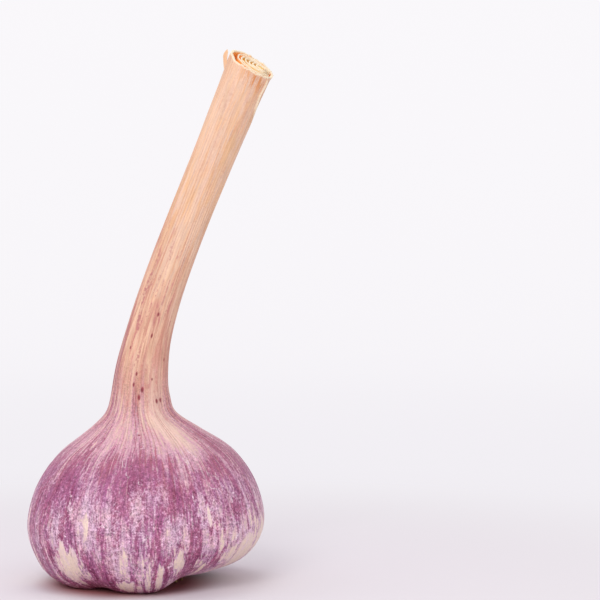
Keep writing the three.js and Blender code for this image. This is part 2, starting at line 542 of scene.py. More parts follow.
def purple_amount(shader, on):
    """How purple the skin is: none at 0, fully at 1. Bare patches have ragged, darker borders."""
    ragged = on.streak * 0.50 + on.thread * 0.20 + on.mottle * 0.20 + on.broad * 0.15
    field = on.pale + ragged * shader.between(on.pale, 0.02, 0.5)
    patch = shader.between(field, 0.34, 0.74)
    border = shader.between(field, 0.12, 0.36) * (1 - patch)
    calm = 1 - on.upper * 0.6 + on.neck * 0.85
    lines = on.thread * shader.between(on.warm, 0.0, 1.0, 0.20, 0.46)
    wander = (on.broad * 0.38 + on.streak * 0.50) * calm + lines
    wander = wander + on.mottle * 0.30 * (1 - on.warm * 0.6) + on.speckle * 0.05
    # Less purple under the hazy patches and under the painted highlight.
    amount = on.tint + on.dark * 0.42 + border * 0.36 - on.haze * 0.30
    return (amount + wander * shader.between(on.tint, 0.0, 0.6, 0.3, 1.0)) * (1 - patch * 0.9)


def bare_colour(shader, on, colours):
    """Skin without purple: cream, with a milky film in places, peach at the neck, tan above it."""
    filmy = shader.between(on.streak * 0.6 + on.mottle * 0.5 - on.thread * 0.3, -0.2, 0.7, 0.0, 0.8)
    bare = shader.mix(filmy, colours.cream, colours.milk)
    bare = shader.mix(on.warm, bare, colours.peach)
    banded = on.streak * 0.7 + on.broad * 0.5 + on.thread * 0.7
    tanned = shader.mix(shader.between(banded, -0.5, 0.5), colours.tan, colours.straw)
    # Painted light: tanner and less rosy on the stem top's lit side.
    tanned = shader.mix(on.sunny * 0.5, tanned, colours.tan)
    rosy = on.broad * 0.9 - on.streak * 0.5 + on.thread * 0.4 - on.sunny * 0.6
    tanned = shader.mix(shader.between(rosy, 0.0, 0.9, 0.0, 0.7), tanned, colours.rose)
    return shader.mix(on.stem, bare, tanned)


def purple_colour(shader, on, colours, amount):
    """Bare skin that turns lilac, purple and deep purple with the amount."""
    hue = shader.between(on.hue + on.mottle * 0.5, -0.8, 0.8)
    lilac = shader.mix(hue, colours.lilac, colours.mauve)
    lilac = shader.mix(on.warm * 0.8, lilac, colours.dusk)
    lilac = shader.mix(on.stem, lilac, colours.flush)
    purple = shader.mix(hue, colours.purple, colours.violet)
    purple = shader.mix(on.warm, purple, colours.wine)
    purple = shader.mix(on.stem * (1 - on.dark), purple, colours.bark)
    deep = shader.mix(on.warm, colours.deep, colours.wine)
    colour = shader.mix(shader.between(amount, 0.06, 0.38), bare_colour(shader, on, colours), lilac)
    colour = shader.mix(shader.between(amount, 0.38, 0.82), colour, purple)
    colour = shader.mix(shader.between(amount, 0.90, 1.35), colour, deep)
    # Lavender where the dry outer cells are paler, and a painted sheen where they catch the light.
    dry = on.mottle * 0.42 + on.speckle * 0.34 + on.grit * 0.22 - on.streak * 0.20 + on.haze * 0.62
    lavender_and_sheen = shader.between(dry, 0.05, 0.85, 0.0, 0.8) * shader.between(amount, 0.2, 0.5)
    lavender_and_sheen = lavender_and_sheen * (1 - on.warm * 0.7) * (1 - on.upper * 0.5)
    return shader.mix(lavender_and_sheen, colour, colours.lavender_and_sheen)


def with_veins(shader, on, colours, colour):
    """Veins, pale along their crests, thin brown lines between them, and a painted highlight on the creases
    and wrinkles.
    """
    crest = shader.between(on.vein + on.thread * 0.15, 0.45, 0.85)
    colour = shader.mix(crest * shader.between(on.streak, -0.8, 0.6, 0.12, 0.62), colour, colours.vein)
    line = on.line * shader.between(on.thread, -0.8, 0.6, 0.25, 0.9)
    colour = shader.mix(line, colour, colours.valley)
    # A painted highlight along the creases and the wrinkles.
    wrinkled = on.wrinkle * shader.between(on.speckle, -0.6, 0.4, 0.08, 0.52)
    return shader.mix(shader.math("MAXIMUM", on.crease * 0.6, wrinkled), colour, colours.crease_highlight)


def with_neck_lines(shader, on, colours, colour):
    """Thin straight lines up the neck and the stem, light ones and dark broken ones, and dashes."""
    bright = shader.between(abs(on.light_lines), 0.02, 0.24, 1.0, 0.0)
    colour = shader.mix(bright * (on.neck * 0.40 + on.stem * 0.25), colour, colours.glint)
    sunk = shader.between(abs(on.dark_lines), 0.02, 0.26, 1.0, 0.0)
    sunk = sunk * shader.between(on.speckle + on.thread * 0.5, -0.5, 0.4, 0.1, 1.0)
    colour = shader.mix(sunk * on.stem * 0.26, colour, colours.bark)
    colour = shader.mix(sunk * on.neck * 0.60, colour, colours.dash)
    dash = on.thread * 0.8 + on.speckle * 0.4 + on.streak * 0.4 + on.broad * 0.2
    return shader.mix(shader.between(dash, 0.28, 0.8) * on.neck * 0.75, colour, colours.dash)


def with_stem_marks(shader, on, colours, colour):
    """The flush at the stem's foot, a few small dark spots, and brown lines below the cut."""
    flushed = shader.between(on.streak - on.thread * 0.4, -0.7, 0.7, 0.25, 1.0)
    colour = shader.mix(on.blush * (1 - on.dark * 0.8) * flushed, colour, colours.blush)
    colour = shader.mix(spots(shader, on.grain) * 0.9, colour, colours.spot)
    scorch = on.rim * shader.between(on.thread * 0.7 + on.streak * 0.7, -0.35, 0.4)
    return shader.mix(scorch, colour, colours.scorch)


def skin_material(colours):
    """Dry leaf skin: cream, speckled and streaked purple along its veins, tan up the stem."""
    shader = Shader("garlic_skin")
    on = skin_fields(shader)
    amount = purple_amount(shader, on)
    colour = purple_colour(shader, on, colours, amount)
    colour = with_veins(shader, on, colours, colour)
    colour = with_neck_lines(shader, on, colours, colour)
    colour = with_stem_marks(shader, on, colours, colour)

    # Grains of light and shade that leave the hue alone.
    coloured = shader.between(amount, 0.1, 0.5, 0.2, 1.0) * (1 - on.stem * 0.8) * (1 - on.upper * 0.35)
    shade = 1 + (on.speckle * 0.44 + on.grit * 0.56) * coloured + on.thread * on.warm * 0.20
    colour = shader.vector_math("SCALE", {0: colour, "Scale": shade})

    # The cut edge and the inside of the rim.
    inside = shader.mix(shader.between(on.depth, 0.02, 0.5), colours.cut, colours.amber)
    inside = shader.mix(shader.between(on.depth, *DEEP), inside, colours.shade)
    colour = shader.mix(on.cut, colour, inside)

    relief = on.thread * 0.14 + on.mottle * 0.16 + on.speckle * 0.16 + on.grit * 0.10 + on.wrinkle * 0.5
    return shader.finish(
        Base_Color=colour,
        Roughness=0.5 + on.mottle * 0.08 + on.stem * 0.08,
        Normal=shader.bump(0.6, 0.0003, relief),
        Specular_IOR_Level=0.4,
    )


def leaf_material(name, colours, edge, inner, deep):
    """A cut leaf: pale along the cut, amber and darker down the gaps, with a painted glow in them."""
    shader = Shader(name)
    depth = shader.fact("depth")
    fibre = shader.noise(shader.place(), (2600, 2600, 900), 3.0, 0.6)
    fade = shader.between(depth + (fibre - 0.5) * 0.3, 0.03, 0.5)
    colour = shader.mix(fade, edge, inner)
    colour = shader.mix(shader.between(depth, *DEEP), colour, deep)
    colour = shader.mix(shader.between(fibre, 0.5, 0.7, 0.0, 0.4) * (1 - fade), colour, colours.tan)
    return shader.finish(
        Base_Color=colour,
        Roughness=0.6 + (fibre - 0.5) * 0.3,
        Normal=shader.bump(0.4, 0.0001, fibre),
        Specular_IOR_Level=0.3,
        # A painted glow down the gaps, standing in for light through the leaves.
        Emission_Color=shader.mix(shader.between(depth, 0.1, 1.2), (0, 0, 0), deep),
        Emission_Strength=0.25,
    )


def strip_material(colours):
    """The torn strip: stem skin, paler along its torn edges."""
    shader = Shader("garlic_strip")
    fibre = shader.noise(shader.place(), (3200, 3200, 300), 3.0, 0.6)
    colour = shader.mix(shader.between(fibre, 0.35, 0.65, 0.0, 0.6), colours.straw, colours.tan)
    return shader.finish(
        Base_Color=shader.mix(shader.fact("edge") * 0.4, colour, colours.cut),
        Roughness=0.55 + (fibre - 0.5) * 0.3,
        Normal=shader.bump(0.4, 0.0001, fibre),
        Specular_IOR_Level=0.3,
    )


def cork_material(colours):
    """The root plate and its roots: rough brown cork, paler where the roots are cut."""
    shader = Shader("garlic_roots")
    place = shader.place()
    lump = shader.noise(place, (700, 700, 700), 4.0, 0.6)
    grit = shader.noise(place, (3200, 3200, 3200), 2.0, 0.6)
    raised = shader.between(lump + (grit - 0.5) * 0.5, 0.35, 0.65)
    colour = shader.mix(raised, colours.cork_dark, colours.cork)
    root_end = shader.fact("cut") * shader.between(grit, 0.35, 0.6, 0.4, 0.9)
    return shader.finish(
        Base_Color=shader.mix(root_end, colour, colours.root_end),
        Roughness=0.85 + (grit - 0.5) * 0.2,
        Normal=shader.bump(0.7, 0.0004, lump * 0.7 + grit * 0.3),
    )


# ---------------------------------------------------------------------------------------------
# Settings
# ---------------------------------------------------------------------------------------------


def length_property(name, description, millimetres):
    return FloatProperty(
        name=name, description=description, default=millimetres * MM, min=0, unit="LENGTH", precision=5
    )


def colour_property(name, description, *screen):
    return FloatVectorProperty(
        name=name, description=description, default=light(*screen), size=3, subtype="COLOR", min=0, max=1
    )


class GarlicSizes(bpy.types.PropertyGroup):
    """Sizes of the details that the skin and the leaves carry"""

    vein_height: length_property("Vein Height", "How far the fine veins stand out of the skin", 0.1)
    gather_depth: length_property("Gather Depth", "Depth of the folds below the neck", 0.18)
    crumple: length_property("Crumple", "How uneven the skin is over the cloves", 0.2)
    leaf_thickness: length_property("Leaf Thickness", "Thickness of the outermost leaf at the cut", 0.62)
    root_width: length_property("Root Width", "Width of a trimmed root", 0.9)
    vein_count: IntProperty(name="Veins", description="Fine veins round the bulb", default=96, min=20)
    leaf_count: IntProperty(name="Rolled Leaves", description="Leaves rolled in the cut", default=6, min=3)
    root_count: IntProperty(name="Roots", description="Trimmed roots under the plate", default=46, min=5)


class GarlicColours(bpy.types.PropertyGroup):
    """Colours of the skin, the cut leaves and the roots"""

    milk: colour_property("Milk", "Bare skin under a thin outer film", 224, 196, 206)
    cream: colour_property("Cream", "Bare skin low on the bulb", 230, 206, 190)
    peach: colour_property("Peach", "Bare skin at the neck", 225, 191, 178)
    tan: colour_property("Tan", "Skin up the stem", 232, 194, 170)
    straw: colour_property("Straw", "Yellower bands up the stem", 222, 174, 130)
    rose: colour_property("Rose", "Pinker bands up the stem", 214, 160, 146)
    lilac: colour_property("Lilac", "Thinly coloured skin", 208, 164, 178)
    mauve: colour_property("Mauve", "Thinly coloured skin, bluer", 198, 160, 184)
    dusk: colour_property("Dusk", "Thinly coloured skin at the neck", 202, 150, 166)
    purple: colour_property("Purple", "Fully coloured skin", 160, 84, 118)
    violet: colour_property("Violet", "Fully coloured skin, bluer", 152, 84, 128)
    wine: colour_property("Wine", "Coloured skin at the neck", 154, 84, 112)
    bark: colour_property("Bark", "Fully coloured streaks up the stem", 178, 114, 98)
    flush: colour_property("Flush", "Thinly coloured skin up the stem", 210, 158, 138)
    blush: colour_property("Blush", "The dusky flush low on the stem", 200, 142, 118)
    deep: colour_property("Deep Purple", "The darkest skin", 122, 38, 84)
    # Paler dry cells, with a painted sheen on them.
    lavender_and_sheen: colour_property("Lavender", "Dry outer cells over the purple", 204, 174, 194)
    # A painted highlight on the creases and wrinkles.
    crease_highlight: colour_property("Fleck", "Creased skin catching the light", 230, 208, 218)
    vein: colour_property("Vein", "Crests of the veins", 232, 204, 192)
    valley: colour_property("Valley", "Thin lines between the veins", 160, 96, 92)
    glint: colour_property("Glint", "Thin light lines up the neck", 236, 200, 168)
    dash: colour_property("Dash", "Short dashes up the neck and the stem", 172, 104, 110)
    spot: colour_property("Spot", "Small spots on the neck and the stem", 126, 20, 44)
    scorch: colour_property("Scorch", "Brown lines below the cut", 204, 126, 68)
    cut: colour_property("Cut", "Cut leaf", 236, 220, 192)
    amber: colour_property("Amber", "Leaf just under the cut", 246, 170, 84)
    shade: colour_property("Shade", "Leaf deep in the gaps", 214, 104, 24)
    gold: colour_property("Gold", "Deep between the inner leaves", 206, 146, 70)
    core: colour_property("Core", "Middle of the rolled leaves", 232, 190, 96)
    cork: colour_property("Cork", "Root plate", 168, 118, 72)
    cork_dark: colour_property("Dark Cork", "Hollows of the root plate", 92, 52, 30)
    root_end: colour_property("Root End", "Cut ends of the roots", 205, 170, 122)
    # A painted contact shadow: the ground's colour right under the bulb.
    painted_contact_shadow: colour_property("Underneath", "The ground right under the bulb", 168, 108, 110)
    floor: colour_property("Floor", "The ground it stands on", 222, 217, 222)
    # Painted light: the glow of the ground, brighter farther off.
    near_glow: colour_property("Near Ground", "The lit ground where it starts to brighten", 234, 229, 233)
    far_glow: colour_property("Far Ground", "The lit ground farther off", 241, 238, 243)
    backdrop: colour_property("Backdrop", "What is behind it", 250, 248, 251)


# ---------------------------------------------------------------------------------------------
# The skin
# ---------------------------------------------------------------------------------------------

SKIN_SIDES = 700
ROW_COUNTS = (12, 60, 25, 36)  # at the foot, on the bulb, up the stem and below the cut
TEXTURE_SHARES = (0.015, 0.12, 0.62, 0.83, 0.955)  # the texture's height at their ends
TOP_LENGTH = 16.0
GATHERS = 34  # folds where the skin is drawn in to the neck
CREASE_HEIGHT = 0.16
MARGIN_HEIGHT = 0.4
MARGIN_RECESS = 0.26
BULB_GRAIN = 28.0  # the radius, in millimetres, on which the grain of the bulb is laid out
STEM_GRAIN = 5.5  # and that of the stem
SPOT_SQUASH = 0.4  # under 1, which makes the spots longer than they are wide
NOTCH_ANGLE, DIP_ANGLE = 183, 232  # where a strip is torn off the rim, and a shallow dip beside it
NOTCH_DEPTH = 0.9
# Marks on the skin: the way round from the front, the height, half the width in degrees, half
# the height, and the strength. First the bare patches, then the hazy ones and the dark ones.
# Some bare and hazy ones hold painted light, and one dark one painted shade.
PALE_MARKS = (
    (-39, 7, 8, 5, 0.95),
    (-31, 4.5, 5, 2.5, 0.8),
    (-90, 7, 13, 6, 1.3),
    (-8, 2.4, 6, 1.6, 1.05),
    (5, 6.5, 2.8, 5.5, 0.8),
    (11, 4, 2.5, 5, 0.8),
    (20, 8, 4.5, 4.5, 0.8),
    (33, 5.5, 4, 3, 0.7),
    (48, 8, 5, 4, 0.75),
    # These two, low on the right, are pale skin and also painted light against the bulb's own shade.
    (60, 7, 8, 5.5, 1.1),
    (77, 10, 9, 7, 1.15),
    (30, 21.5, 1.8, 3.2, 0.5),
    (35, 19, 2.6, 3.4, 0.6),
    (42, 17, 2.0, 2.4, 0.5),
    (19, 14, 2.4, 1.8, 0.4),
    (-42, 37.5, 6, 5, 0.5),
    (112, 6, 9, 4, 0.9),
    (134, 13, 4, 6, 0.7),
    (152, 7, 7, 5, 0.9),
    (-150, 5, 9, 4, 1.0),
    (-128, 9, 4, 5, 0.7),
    (-108, 6, 7, 4, 0.8),
    (175, 8, 5, 6, 0.8),
    (-170, 20, 2.4, 4, 0.7),
)
HAZE_AND_HIGHLIGHT_MARKS = (
    # A painted highlight where the key light falls on the bulb's left middle.
    (-25, 19, 7, 6, 1.0),
    (-9, 9.5, 5, 4, 1.0),
    (-43, 16, 4, 6, 0.8),
    (-58, 11, 4, 5, 0.7),
    (0, 20, 4, 6, 0.8),
    (9, 24, 6, 4, 0.6),
    (18, 16, 5, 5, 0.8),
    (34, 20, 8, 6, 0.6),
    (60, 13, 12, 6, 0.8),
    (-30, 27, 6, 4, 0.5),
    (-56, 28, 5, 4, 0.5),
    (24, 28, 4, 4, 0.5),
    (62, 29, 6, 4, 0.6),
    (-12, 16, 4, 5, 0.6),
    (50, 24, 5, 4, 0.5),
    (-70, 22, 6, 6, 0.4),
    (100, 16, 8, 6, 0.8),
    (126, 20, 6, 6, 0.7),
    (160, 18, 8, 6, 0.9),
    (-155, 16, 7, 6, 0.9),
    (-122, 20, 8, 5, 0.7),
    (-95, 13, 6, 5, 0.6),
)
DARK_AND_SHADE_MARKS = (
    (-2, 28, 5, 3.5, 1.0),
    (44, 30, 9, 2.5, 0.6),
    (-12, 22, 3.5, 4, 0.7),
    (52, 20, 4, 5, 0.8),
    (-25, 6, 3, 4.5, 1.4),
    (-58, 6, 3.5, 6, 1.4),
    (-17, 2.4, 6, 2.2, 1.2),
    (14, 4, 2.5, 5, 0.9),
    (27, 6, 3, 6, 1.0),
    (41, 6, 3, 5, 0.9),
    (54, 5, 2.5, 4, 0.8),
    (69, 8, 3, 5, 0.8),
    # A painted shade over the bulb's left side.
    (-56, 22, 15, 10, 0.5),
    (14, 27, 10, 3, 0.4),
    (-68, 52, 11, 9, 1.5),
    (-62, 44, 8, 6, 0.7),
    (125, 7, 4, 5, 1.0),
    (165, 5, 4, 5, 1.0),
    (-138, 7, 4, 5, 1.0),
    (-96, 5, 4, 5, 0.9),
)
# Dark spots: the way round from the front, the height and the radius in millimetres.
SPOTS = (
    (14, 66.5, 0.32),
    (12, 61.0, 0.34),
    (8, 47.5, 0.42),
    (2, 45.6, 0.40),
    (-10, 48.6, 0.30),
    (-6, 51.2, 0.28),
    (36, 44.6, 0.34),
    (45, 44.8, 0.34),
    (58, 55.5, 0.26),
    (-2, 37.2, 0.15),
    (28, 50.2, 0.22),
    (-34, 57.0, 0.24),
    (96, 52.0, 0.32),
    (140, 60.0, 0.30),
    (-120, 49.0, 0.32),
    (-160, 68.0, 0.28),
)


def marks(turn, height, table):
    """The strongest mark at each point."""
    total = np.zeros_like(height)
    for middle, level, half_turn, half_height, strength in table:
        across, up = angle_from(turn, middle) / half_turn, (height - level) / half_height
        total = np.maximum(total, strength * np.exp(-0.7 * (across**2 + up**2)))
    return total


def vein_crests(degrees, along, count, seed, sharp=5):
    """Fine raised veins, and thin lines between them: both from 0 to 1."""
    warp = 0.7 * ring_noise(degrees, along, max(6, count // 3), 34, seed)
    phase = np.cos(2 * np.pi * (degrees / 360 * count + warp))
    strength = 0.5 + 0.5 * ring_noise(degrees, along, max(6, count // 2), 12, seed + 1)
    patchy = smoothstep(ring_noise(degrees, along, max(6, count // 2), 14, seed + 2), -0.5, 0.5)
    return (0.5 + 0.5 * phase) ** 2 * strength, (0.5 - 0.5 * phase) ** sharp * patchy


def creases(degrees, along, radius, seed, count=46):
    """Short pinched folds, each a thin ridge along the grain."""
    rng = np.random.default_rng(seed)
    total = np.zeros_like(along)
    for _ in range(count):
        middle, level = rng.uniform(0, 360), rng.uniform(24, 58)
        half, wide = rng.uniform(0.8, 2.4), rng.uniform(0.10, 0.2)
        slope = rng.uniform(-0.12, 0.12)
        up = (along - level) / half
        across = np.radians(angle_from(degrees, middle)) * radius - slope * (along - level)
        total = np.maximum(total, np.exp(-(up**4) - (across / wide) ** 2) * rng.uniform(0.4, 1))
    return total


def tint_over(at):
    """How purple the skin is before its grain: full over the bulb, less at the neck and above."""
    levels = (0, 4, 10, 16, 24, 28, 31, 34, 38, 44, 52, 62, 75, 95, 132)
    amounts = (0.60, 0.61, 0.67, 0.73, 0.80, 0.85, 0.70, 0.48, 0.34, 0.36, 0.38, 0.32, 0.16, 0.05, 0.02)
    border = at.height + 1.8 * ring_noise(at.degrees, at.along, 16, 40, 31)
    border = border + 1.4 * ring_noise(at.degrees, at.along, 44, 40, 32)
    tint = np.interp(border, levels, amounts)
    wedge = bump_of(angle_from(at.turn, 34), 0, 17) * bump_of(at.height, 39.5, 10)
    streak = bump_of(angle_from(at.turn, -4), 0, 5.5) * bump_of(at.height, 43, 8)
    right = bump_of(angle_from(at.turn, 68), 0, 20) * bump_of(at.height, 38, 7)
    middle = bump_of(angle_from(at.turn, -20), 0, 26) * bump_of(at.height, 37, 5)
    # Paler low on the right: pale skin, and painted light where the bulb's underside falls in its own shade.
    right_side_band = smoothstep(at.turn, 28, 60) * (1 - smoothstep(at.turn, 110, 150))
    low_right_pale_and_lit = right_side_band * (1 - smoothstep(at.height, 6, 24))
    tint = tint - 0.36 * wedge + 0.32 * streak + 0.24 * right - 0.10 * middle - 0.62 * low_right_pale_and_lit
    return np.clip(tint, 0.01, 1)


def neck_over(turn, height):
    """Where the neck's lines and dashes show: strongest at the left of the stem's foot."""
    fading = smoothstep(height, 34, 44) * (1 - smoothstep(height, 60, 100))
    return fading + bump_of(angle_from(turn, -40), 0, 36) * bump_of(height, 65, 13)


def blush_over(height):
    """The dusky flush round the foot of the stem, fading upwards."""
    return 0.55 * smoothstep(height, 38, 50) * (1 - smoothstep(height, 52, 96))


def skin_rows():
    """Distances along the outline at which the skin has a row of points."""
    _, heights, lengths = outline_curve()
    total = lengths[-1]
    neck = lengths[np.searchsorted(heights[FOOT_END:], NECK_HEIGHT + 6) + FOOT_END]
    ends = (0, lengths[FOOT_END], neck, total - TOP_LENGTH, total)
    rows = []
    for low, high, count in zip(ends, ends[1:], ROW_COUNTS):
        rows.append(np.linspace(low, high, count, endpoint=high == total))
    return np.concatenate(rows)


def skin_places():
    """Where the skin's points are about the spine, before its fine form is added."""
    radii, heights, lengths = outline_curve()
    rows = skin_rows()
    row_radius, row_height = np.interp(rows, lengths, radii), np.interp(rows, lengths, heights)
    slope = np.stack([np.gradient(row_radius, rows), np.gradient(row_height, rows)])
    slope /= np.hypot(*slope)
    level = np.zeros((len(rows), SKIN_SIDES))
    at = SimpleNamespace(rows=rows, widening=slope[0][:, None], rising=slope[1][:, None])
    at.degrees = once_round(SKIN_SIDES) + level
    at.along, at.radius, at.height = (each[:, None] + level for each in (rows, row_radius, row_height))
    at.turn = angle_from(at.degrees, FRONT)
    at.below_cut = STEM_TOP - at.height
    at.side = smoothstep(at.along, 4, 16)  # none under the bulb
    at.bulb = 1 - smoothstep(at.height, NECK_HEIGHT - 8, NECK_HEIGHT + 14)
    return at


def add_fine_form(at, sizes):
    """Adds the veins, folds and leaf margin, and how far they stand out, in millimetres."""
    fine, line = vein_crests(at.degrees, at.along, sizes.vein_count, 3)
    coarse, broad_line = vein_crests(at.degrees, at.along, sizes.vein_count // 2, 5, 2.5)
    at.line = line * at.bulb + broad_line * (1 - at.bulb)
    at.vein = fine * at.bulb + (0.6 * coarse + 0.4 * fine) * (1 - at.bulb)
    strength = np.interp(at.height, (0, 12, 24, 34, 44, 60, 131), (0.4, 0.45, 0.6, 0.9, 1.0, 0.8, 0.6))
    out = sizes.vein_height / MM * strength * at.side * (at.vein - 0.35)
    uneven = 0.7 + 0.3 * ring_noise(at.degrees, at.along, 9, 30, 12)
    gather = vein_crests(at.degrees, at.along, GATHERS, 11)[0] * uneven
    out += sizes.gather_depth / MM * bump_of(at.height, 42, 7) * (gather - 0.4)
    crumple = ring_noise(at.degrees, at.along, 22, 16, 21) * 0.7
    crumple = crumple + ring_noise(at.degrees, at.along, 60, 7, 22) * 0.3
    out += sizes.crumple / MM * at.side * crumple * (0.35 + 0.65 * at.bulb)
    at.crease = creases(at.degrees, at.along, at.radius, 41) * at.side
    out += CREASE_HEIGHT * at.crease

    # The outermost leaf's margin, near the cut: it overlaps what is recessed beside it.
    margin_angle = np.interp(at.below_cut, (0, 3, 6, 9, 13, 20), (331, 334, 330, 336, 350, 400))
    past = np.radians(angle_from(at.degrees, margin_angle)) * at.radius
    near_top = (1 - smoothstep(at.below_cut, 9, 14)) * smoothstep(at.below_cut, 0.1, 1.2)
    recess = smoothstep(past, -0.1, 0.2) * (1 - smoothstep(past, 3.0, 7.0)) * near_top
    at.margin = np.exp(-(((past + 0.2) / 0.34) ** 2)) * near_top
    at.out = out + MARGIN_HEIGHT * at.margin - MARGIN_RECESS * recess


def raised_rim(at):
    """How far the rim is lifted: slanted and ragged, with a notch where a strip is torn off."""
    level = at.along * 0
    ragged = 0.14 * ring_noise(at.degrees, level, 90, 50, 51)
    ragged = ragged + 0.12 * ring_noise(at.degrees, level, 37, 50, 52)
    torn = bump_of(angle_from(at.degrees, NOTCH_ANGLE), 0, 5)
    dip = 0.45 * bump_of(angle_from(at.degrees, DIP_ANGLE), 0, 14)
    near = smoothstep(at.height, STEM_TOP - CUT_DEPTH, STEM_TOP)
    return near * (cut_rise(at.degrees, at.radius) + ragged - NOTCH_DEPTH * (torn + dip))


def over_rim(wide, top, wall):
    """The rows over the rim and down inside it: each one's radius, height and depth."""
    inner = wide - wall
    return (
        (wide - 0.18 * wall, top + 0.07, 0.0),
        (wide - 0.7 * wall, top + 0.05, 0.0),
        (inner, top - 0.06, 0.05),
        (inner - 0.02, top - 0.8, 0.8),
        (inner * 0.985, top - 2.2, 2.2),
        (inner * 0.96, STEM_TOP - CUT_DEPTH + 0 * top, CUT_DEPTH),
    )


def skin_facts(at, depths):
    """What the skin's material needs to know at each point, the inside of the rim last."""
    scorched = 0.1 + 0.9 * bump_of(angle_from(at.turn, 28), 0, 26)
    vein_strength = np.interp(at.height, (0, 20, 30, 140), (0.5, 0.6, 1, 1))
    line_strength = np.interp(
        at.height, (0, 16, 28, 36, 46, 70, 131), (0, 0.2, 0.5, 0.9, 1.0, 0.5, 0.25)
    )
    outside = {
        "tint": tint_over(at),
        "pale": marks(at.turn, at.height, PALE_MARKS),
        "haze": marks(at.turn, at.height, HAZE_AND_HIGHLIGHT_MARKS),
        "dark": marks(at.turn, at.height, DARK_AND_SHADE_MARKS),
        "vein": at.vein * at.side * vein_strength,
        "line": at.line * line_strength,
        "crease": at.crease,
        "stem": smoothstep(at.height, 41, 60),
        "warm": smoothstep(at.height, 24, 37),
        "upper": smoothstep(at.height, 17, 33),
        "neck": neck_over(at.turn, at.height),
        "blush": blush_over(at.height),
        # Painted light on the stem top's left front.
        "sunny": bump_of(angle_from(at.turn, -55), 0, 50) * smoothstep(at.height, 92, 122),
        "rim": (1 - smoothstep(at.below_cut, 1, 7.5)) * scorched,
        "cut": np.maximum(1 - smoothstep(at.below_cut, 0, 0.35), at.margin),
        "depth": 0 * at.height,
    }
    inside = np.zeros((len(depths), SKIN_SIDES))
    facts = {key: np.vstack([values, inside]) for key, values in outside.items()}
    facts["cut"][-len(depths) :] = 1
    facts["depth"][-len(depths) :] = np.array(depths)[:, None]
    angle = np.radians(at.degrees)
    grain = np.stack([BULB_GRAIN * np.cos(angle), BULB_GRAIN * np.sin(angle), at.along], -1)
    facts["grain"] = np.concatenate([grain, np.repeat(grain[-1:], len(depths), axis=0)])
    return facts


def build_skin(sizes, colours):
    """The outermost leaf, from under the cloves to the rim of the cut and down inside it."""
    at = skin_places()
    add_fine_form(at, sizes)
    wide, tall = over_cloves(at.degrees, at.radius, at.height)
    wide = wide + at.out * at.rising
    tall = np.maximum(0, tall - at.out * at.widening * smoothstep(at.along, 4, 12)) + raised_rim(at)

    ring, level = at.degrees[:1], np.zeros((1, SKIN_SIDES))
    wall = sizes.leaf_thickness / MM * (1 + 0.25 * ring_noise(ring, level, 30, 50, 53))
    inside = over_rim(wide[-1:], tall[-1:], wall)
    all_wide = np.vstack([wide, *[radius for radius, _, _ in inside]])
    all_tall = np.vstack([tall, *[height for _, height, _ in inside]])
    points = on_spine(np.vstack([at.degrees, *[ring] * len(inside)]), all_wide, all_tall)
    points[..., 2] = np.maximum(points[..., 2], 0)

    # How the height of the texture is shared out: most of it goes to the bulb.
    row_ends = (0, *at.rows[np.cumsum(ROW_COUNTS[:3])], at.rows[-1])
    places = np.interp(at.rows, row_ends, TEXTURE_SHARES)
    places = np.append(places, np.linspace(0.96, 0.985, len(inside)))
    facts = skin_facts(at, [depth for _, _, depth in inside])
    sheet = Sheet(points, facts, rows=places)
    made = piece("skin", [sheet], ["bulb_and_stem"], skin_material(colours))
    if len(made.data.polygons) < len(at.rows) * SKIN_SIDES / 2:
        raise RuntimeError("the skin lost faces")


# ---------------------------------------------------------------------------------------------
# The cut: rolled leaves round the flower stalk
# ---------------------------------------------------------------------------------------------

LEAF_SIDES = 240
OUTER_LEAF = 5.02  # the radius inside which the leaves are rolled
LEAF_PITCH = 0.66  # from one leaf to the next, where there are as many leaves as gaps are given
LEAF_SHIFT = 0.40  # how far each leaf is shifted from the one round it
LEAF_STAND = 0.10  # how much higher each leaf stands than the one round it
LEAF_SINK = 0.15  # how far they all start below the rim
GAPE_ANGLE, GAPE_TURN = 224, 10  # where the first leaf gapes, and how far on each next one does
LEAF_GAPS = (1.7, 0.62, 1.45, 0.65, 0.85, 0.73)  # the room before each leaf where they gape
LEAF_FLOOR = STEM_TOP - CUT_DEPTH + 0.3
LEAF_DEPTHS = (5.6, 3.0, 1.6, 0.8, 0.3, 0.06)  # how far below the cut its wall has a row
LEAF_EDGE = ((0.2, 0.02), (0.5, 0.05), (0.8, 0.02))  # the share of its edge crossed, and the rise
LEAF_TAPER = 0.008  # how much of its radius it loses with each millimetre of depth
LEAF_NODES = ("leaf_sheath_1", "leaf_sheath_2", "leaf_sheath_3")
STRIP_ANGLE, STRIP_RADIUS, STRIP_DROP = 189.0, 5.25, 3.9  # its foot, and how far below the cut
STRIP_LENGTH = 5.1
STRIP_WIDTH = 1.3
STRIP_THICKNESS = 0.32
STRIP_TURN = -28.0  # degrees that the strip's flat side is turned from the front
STALK_ROWS = (  # each row's radius, height and depth for the colour
    (0.62, -5.6, 5.6),
    (0.66, -2.5, 2.5),
    (0.70, -0.9, 0.9),
    (0.70, -0.35, 0.2),
    (0.60, -0.24, 0),
    (0.32, -0.2, 0),
    (0.1, -0.22, 0),
)


